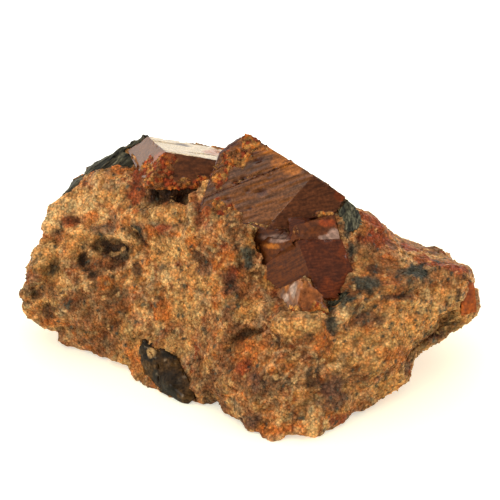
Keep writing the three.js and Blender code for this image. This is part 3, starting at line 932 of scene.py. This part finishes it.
def front_block(name, upper, lower, ridge, lift):
    """A block of the front crystal between two rows of pixels, with a ridge across its front"""
    row = [seen_place(u, v, big_tree) for u, v in (*upper, *lower)]
    row += [seen_place(u, v, big_tree) + np.array(view_back) * lift for u, v in ridge]
    row += [place - np.array(view_back) * 2.5 for place in row]
    hull = bmesh.new()
    for place in row:
        hull.verts.new(Vector(place) * mm + datum)
    bmesh.ops.convex_hull(hull, input=hull.verts)
    inner = [corner for corner in hull.verts if not corner.link_faces]
    bmesh.ops.delete(hull, geom=inner, context="VERTS")
    bmesh.ops.triangulate(hull, faces=hull.faces)
    bmesh.ops.recalc_face_normals(hull, faces=hull.faces)
    return fine_crystal(hull, name, crystal_step)


def finish_block(made, points, normals, to_edge, tint, patch_table, seed):
    """Its wear and its colours"""
    height = 0.05 * swells(points, 1.0, seed) + 0.02 * swells(points, 0.4, seed + 1)
    set_points(made.data, points + normals * (height - chip(points, to_edge, 0.15, seed + 2))[:, None])
    ground = np.tile(np.array(big_tints[tint]), (len(points), 1))
    tree = BVHTree.FromPolygons(
        [vertex.co.copy() for vertex in made.data.vertices],
        [tuple(face.vertices) for face in made.data.polygons],
    )
    ground = paint_crystal(points, ground, big_tints, patch_table, tree, seed + 3, 0.9)
    ground *= (0.8 + 0.4 * (0.5 + 0.5 * swells(points, 0.7, seed + 4)))[:, None]
    keep_colours(made.data, "ground", np.clip(ground, 0, 1))
    keep_vectors(made.data, "streak", points * 0.3)
    wear(made, dull_garnet)
    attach(made, "root")


block = front_block(
    "front_block", upper=[(294, 226), (316, 218), (334, 214)], lower=[(290, 244), (340, 240)],
    ridge=[(296, 239), (338, 227)], lift=0.4,
)
finish_block(*block, "block brown", {
    "amber brown": [(298, 222, 322, 236)],
    "red flash": [(320, 219, 336, 226)],
    # Painted reflection: the lilac at the block's right end.
    "lilac": [(318, 235, 334, 240), (328, 229, 341, 239)],
}, 121)
band = front_block(
    "front_band", upper=[(250, 235), (268, 237), (292, 240)], lower=[(262, 266), (297, 248)],
    ridge=[(260, 245), (292, 244)], lift=0.6,
)
finish_block(*band, "amber brown", {
    # Painted reflection: the lilac along the band's top.
    "lilac": [(248, 233, 270, 239), (266, 237, 292, 243)],
    "translucent orange": [(262, 243, 282, 249)],
    "mahogany": [(248, 246, 268, 264), (270, 250, 296, 264)],
}, 131)

# The left crystal: red-brown garnet that grew from the same rock as the big one. Its nearly level
# top mirrors the sky, partly in its gloss and partly as a painted pale reflection, a narrow grey face
# lies on its left and a brown one in front, and rock grains have grown over its foot.
left_copy = merged_copy("left_garnet_crystal")
left, points, normals, to_edge = fine_crystal(left_copy, "left_garnet", crystal_step)
left_tree = solid_trees["left_garnet_crystal"]
top_side = on_face(normals, 48, 72)
stripe_way = way_between((172, 146), (212, 152), left_tree)
across_way = np.cross(facing(48, 72), stripe_way)
across = points @ across_way + 0.3 * swells(points, 4.0, 51)
streak = np.stack([across, points @ stripe_way * 0.12, points[:, 2] * 0.3], axis=1)
ledge = ease(swells(streak, 0.9, 52), 0.25, 0.4)
left_grit = grit_share(points, [
    (134, 154, 172, 190), (150, 176, 196, 194), (190, 176, 224, 192), (206, 143, 232, 152),
], left_tree, 56)
relief_height = 0.02 * swells(points, 0.8, 53) - 0.12 * top_side * ledge
relief_height -= chip(points, to_edge, 0.15, 54)
relief_height = relief_height * (1 - left_grit) + 0.8 * grit_height(points, left_grit, 58)
set_points(left.data, points + normals * relief_height[:, None])
left_tints = {
    "brown": (0.105, 0.032, 0.010),
    "pale sky reflection": (0.6, 0.46, 0.28),
    "lilac": (0.15, 0.055, 0.012),
    "rust": (0.36, 0.08, 0.015),
    "edge": (0.09, 0.045, 0.02),
}
ground = np.tile(np.array(left_tints["brown"]), (len(points), 1))
# Painted reflection: the nearly level top face is painted pale, as it mirrors the sky.
ground = lay(ground, left_tints["pale sky reflection"], top_side)
ledge_side = ease(ledge, 0.05, 0.5) * (1 - ease(ledge, 0.5, 0.95))
ground = lay(ground, left_tints["edge"], 0.95 * top_side * ledge_side)
ground = lay(ground, left_tints["lilac"], on_face(normals, -162, 46))
left_patches = {
    "rust": [(150, 150, 172, 168), (202, 147, 224, 157)],
}
ground = paint_crystal(points, ground, left_tints, left_patches, left_tree, 55, 0.7)
ground = lay_grit(points, ground, left_grit, 58, ("rust", "brown", "rust", "ochre", "orange", "brown"))
keep_colours(left.data, "ground", np.clip(ground, 0, 1))
keep_vectors(left.data, "streak", streak)
brown_garnet = garnet_material("brown_garnet", 1.78, 0.2, 0.2)
face_ways = face_vectors(left.data, "normal")
is_glassy = (face_ways @ facing(48, 72) > 0.9) | (face_ways @ facing(-162, 46) > 0.9)
finish = np.where(face_means(left.data, left_grit) > 0.5, 2, ~is_glassy)
by_face(left, [brown_garnet, dull_garnet, grain_material], finish)
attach(left, "root")
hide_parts("left_garnet_crystal")

keep_numbers(left.data, "crumbs_here", left_grit)
strew("left_crystal_grit", left, 4.0, 0.08, 0.19, 0.6, 1.3, 6)

# The small crystal at the front one's foot: orange-brown garnet, clear in front and frosted on its
# left face, which carries a painted pink sheen and painted white highlights. It is set in the rock's
# grains.
small_copy = merged_copy("small_garnet_crystal")
small, points, normals, to_edge = fine_crystal(small_copy, "small_garnet", crystal_step)
small_tree = solid_trees["small_garnet_crystal"]
relief_height = 0.04 * swells(points, 0.7, 61) - chip(points, to_edge, 0.3, 62)
frosted_side = on_face(normals, -156, 28)
relief_height += frosted_side * 0.15 * swells(points, 0.9, 63)
small_grit = grit_share(points, [(282, 305, 306, 318), (304, 304, 330, 318)], small_tree, 65)
relief_height = relief_height * (1 - small_grit) + grit_height(points, small_grit, 66)
set_points(small.data, points + normals * relief_height[:, None])
small_tints = {
    "orange brown": (0.25, 0.07, 0.013),
    "frosted sheen": (0.22, 0.09, 0.035),
    "white highlight": (0.5, 0.34, 0.24),
    "orange": (0.42, 0.14, 0.03),
}
ground = np.tile(np.array(small_tints["orange brown"]), (len(points), 1))
# Painted sheen: the frosted left face is painted paler and pinker.
ground = lay(ground, small_tints["frosted sheen"], frosted_side)
# The white boxes are painted highlights on the left face.
small_patches = {
    "white highlight": [(279, 293, 292, 303), (290, 281, 297, 298)],
    "orange": [(296, 277, 308, 290), (284, 284, 290, 292)],
}
ground = paint_crystal(points, ground, small_tints, small_patches, small_tree, 64)
ground = lay_grit(points, ground, small_grit, 66)
keep_numbers(small.data, "crumbs_here", small_grit)
keep_colours(small.data, "ground", np.clip(ground, 0, 1))
keep_vectors(small.data, "streak", points * 0.3)
orange_brown_garnet = garnet_material("orange_brown_garnet", 1.45, 0.35)
by_face(small, [orange_brown_garnet, grain_material], face_means(small.data, small_grit) > 0.5)
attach(small, "root")
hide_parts("small_garnet_crystal")
strew("small_crystal_grit", small, 4.0, 0.08, 0.2, 0.7, 1.3, 7)

# The crystal in the tip: orange garnet, cut by the break of the rock, so that only one clean face
# of it shows.
tip, points, normals, to_edge = fine_crystal(merged_copy("tip_garnet_crystal"), "tip_garnet", crystal_step)
relief_height = 0.05 * swells(points, 1.1, 71) - chip(points, to_edge, 0.3, 72)
set_points(tip.data, points + normals * relief_height[:, None])
tip_tints = {"orange": (0.33, 0.068, 0.006), "dark": (0.16, 0.03, 0.006)}
ground = np.tile(np.array(tip_tints["orange"]), (len(points), 1))
ground = lay(ground, tip_tints["dark"], 0.7 * ease(swells(points, 2.2, 73), 0.0, 0.5))
keep_colours(tip.data, "ground", np.clip(ground, 0, 1))
keep_vectors(tip.data, "streak", points * 0.3)
wear(tip, dull_garnet)
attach(tip, "root")
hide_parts("tip_garnet_crystal")

# The crust: dark pyroxene, in fibres that run up the back of the rock's left shoulder. It grew on
# the rock as a thin layer of overlapping bundles.
pyroxene_step = 0.25 * mm
pyroxene_tints = {
    "dark": (0.03, 0.025, 0.012),
    "grey green": (0.085, 0.078, 0.045),
    "fibre": (0.17, 0.145, 0.085),
    "black": (0.008, 0.009, 0.007),
}


def pyroxene(node, name, fibre_way, seed, light_share, relief_size):
    """A grain of fibrous pyroxene: its fibres lie along one way"""
    made, points, normals, to_edge = fine_crystal(merged_copy(node), name, pyroxene_step)
    way = np.array(fibre_way) / np.linalg.norm(fibre_way)
    along = points @ way
    across = points - along[:, None] * way
    streak = across + along[:, None] * way * 0.14
    height = relief_size * (swells(streak, 0.55, seed) + 0.5 * swells(streak, 0.28, seed + 1))
    height += 1.2 * relief_size * swells(points, 1.6, seed + 2)
    height -= chip(points, to_edge, 0.5, seed + 3)
    set_points(made.data, points + normals * height[:, None])
    ground = np.tile(np.array(pyroxene_tints["dark"]), (len(points), 1))
    grey_share = ease(swells(streak, 0.5, seed + 4), -light_share, 0.6)
    fibre_share = light_share * ease(swells(streak, 0.3, seed + 5), 0.3, 0.7)
    ground = lay(ground, pyroxene_tints["grey green"], grey_share)
    ground = lay(ground, pyroxene_tints["fibre"], fibre_share)
    ground = lay(ground, pyroxene_tints["black"], 0.8 * ease(swells(streak, 0.7, seed + 6), 0.25, 0.6))
    keep_colours(made.data, "ground", np.clip(ground, 0, 1))
    keep_vectors(made.data, "streak", streak)
    wear(made, garnet_material(name + "_finish", 1.22, 0.55, 0.65, 0.15))
    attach(made, "root")
    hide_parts(node)


pyroxene("pyroxene_crust", "fibrous_crust", (12, 5, 8), 81, 0.5, 0.14)

# The grey-green grain: pyroxene caught between the front crystal's right edge and the rock, and
# splintered along its length.
pyroxene("pyroxene_grain", "splintered_grain", (0.3, 0.2, 1), 91, 0.8, 0.12)

# The wedge: almost black pyroxene that fills the gap between the small crystal and the right-hand
# ledge of the rock.
pyroxene("pyroxene_wedge", "black_wedge", (1, 0.3, 1.2), 101, 0.15, 0.12)

# The quartz grain: smoky and glassy, set low in the rock and broken through in shells, with tan
# grains of garnet on its shoulder.
quartz_copy = merged_copy("quartz_grain")
quartz, points, normals, to_edge = fine_crystal(quartz_copy, "smoky_quartz_grain", pyroxene_step)
quartz_tree = solid_trees["quartz_grain"]
table_gap = 0.05
relief_height = 0.22 * swells(points, 1.8, 111) + 0.1 * swells(points, 0.8, 112)
relief_height -= chip(points, to_edge, 0.5, 113)
lower_lobe = [seen_place(u, v, quartz_tree) for u, v in ((172, 384), (186, 394))]
relief_height += 1.0 * np.exp(-((away_from_line(points, lower_lobe) / 1.4) ** 2))
broken = points + normals * relief_height[:, None]
broken[:, 2] = np.maximum(broken[:, 2], table_gap)
set_points(quartz.data, broken)
quartz_tints = {
    "smoke": (0.055, 0.026, 0.007),
    "dark": (0.012, 0.008, 0.004),
    "glint": (0.2, 0.14, 0.085),
    "tan": (0.5, 0.28, 0.1),
}
ground = np.tile(np.array(quartz_tints["smoke"]), (len(points), 1))
ground = lay(ground, quartz_tints["dark"], ease(swells(points, 1.5, 114), 0.0, 0.5))
ground = lay(ground, quartz_tints["glint"], 0.5 * ease(swells(points, 0.7, 115), 0.4, 0.7))
quartz_patches = {"tan": [(145, 347, 155, 358), (184, 352, 194, 362)], "dark": [(150, 372, 184, 400)]}
ground = paint_crystal(points, ground, quartz_tints, quartz_patches, quartz_tree, 116)
keep_colours(quartz.data, "ground", np.clip(ground, 0, 1))
keep_vectors(quartz.data, "streak", points * 0.5)
wear(quartz, garnet_material("smoky_quartz", 1.2, 0.3, 0.45))
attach(quartz, "root")
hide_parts("quartz_grain")

# The table and the light: a white table under a bright, even sky of white paper, with one softbox
# on each side. The table is a little warm beside the specimen, which throws its colour on it.
floor_mesh = bmesh.new()
bmesh.ops.create_grid(floor_mesh, x_segments=1, y_segments=1, size=2.0)
floor = new_object("table", floor_mesh)
paper, tree, shader, place = start_material("white_paper")
reach_of_glow = add(tree, "ShaderNodeVectorMath", {0: place}, operation="LENGTH").outputs["Value"]
glow = stretch(tree, reach_of_glow, 35 * mm, 70 * mm)
tree.links.new(mix(tree, glow, (0.93, 0.90, 0.6), (0.93, 0.92, 0.88)), shader.inputs["Base Color"])
shader.inputs["Roughness"].default_value = 0.7
shader.inputs["Emission Color"].default_value = (1.0, 1.0, 0.96, 1)
shader.inputs["Emission Strength"].default_value = 0.45
wear(floor, paper)

world = bpy.data.worlds.new("white_room")
world.use_nodes = True
tree = world.node_tree
sky = tree.nodes["Background"]
way = add(tree, "ShaderNodeTexCoord").outputs["Generated"]
way_back = add(tree, "ShaderNodeSeparateXYZ", {"Vector": way})
behind = stretch(tree, way_back.outputs["Y"], -0.5, 0.5, 0.14, 1.2)
beside = stretch(tree, way_back.outputs["X"], -0.9, -0.5, 0.35, 0.0)
above = stretch(tree, way_back.outputs["Z"], 0.35, 0.95, 0.0, 0.8)
back_and_side = add(tree, "ShaderNodeMath", {0: behind, 1: beside}, operation="ADD")
brightness = add(tree, "ShaderNodeMath", {0: back_and_side.outputs[0], 1: above}, operation="ADD")
sky.inputs["Color"].default_value = (1.0, 1.0, 1.0, 1.0)
tree.links.new(brightness.outputs[0], sky.inputs["Strength"])
bpy.context.scene.world = world
bpy.context.scene.view_settings.view_transform = "Standard"


def softbox(name, place, size, watts, aim=(0.0, 0.0, 0.015)):
    """A square lamp that faces a point of the specimen"""
    lamp = bpy.data.lights.new(name, "AREA")
    lamp.size = size
    lamp.energy = watts
    lamp_object = bpy.data.objects.new(name, lamp)
    lamp_object.location = place
    lamp_object.rotation_euler = (Vector(place) - Vector(aim)).to_track_quat("Z", "Y").to_euler()
    bpy.context.scene.collection.objects.link(lamp_object)


softbox("left_box", (-0.45, -0.45, 0.16), 0.25, 1.5)
softbox("right_box", (0.65, 0.0, 0.12), 0.25, 1.0)
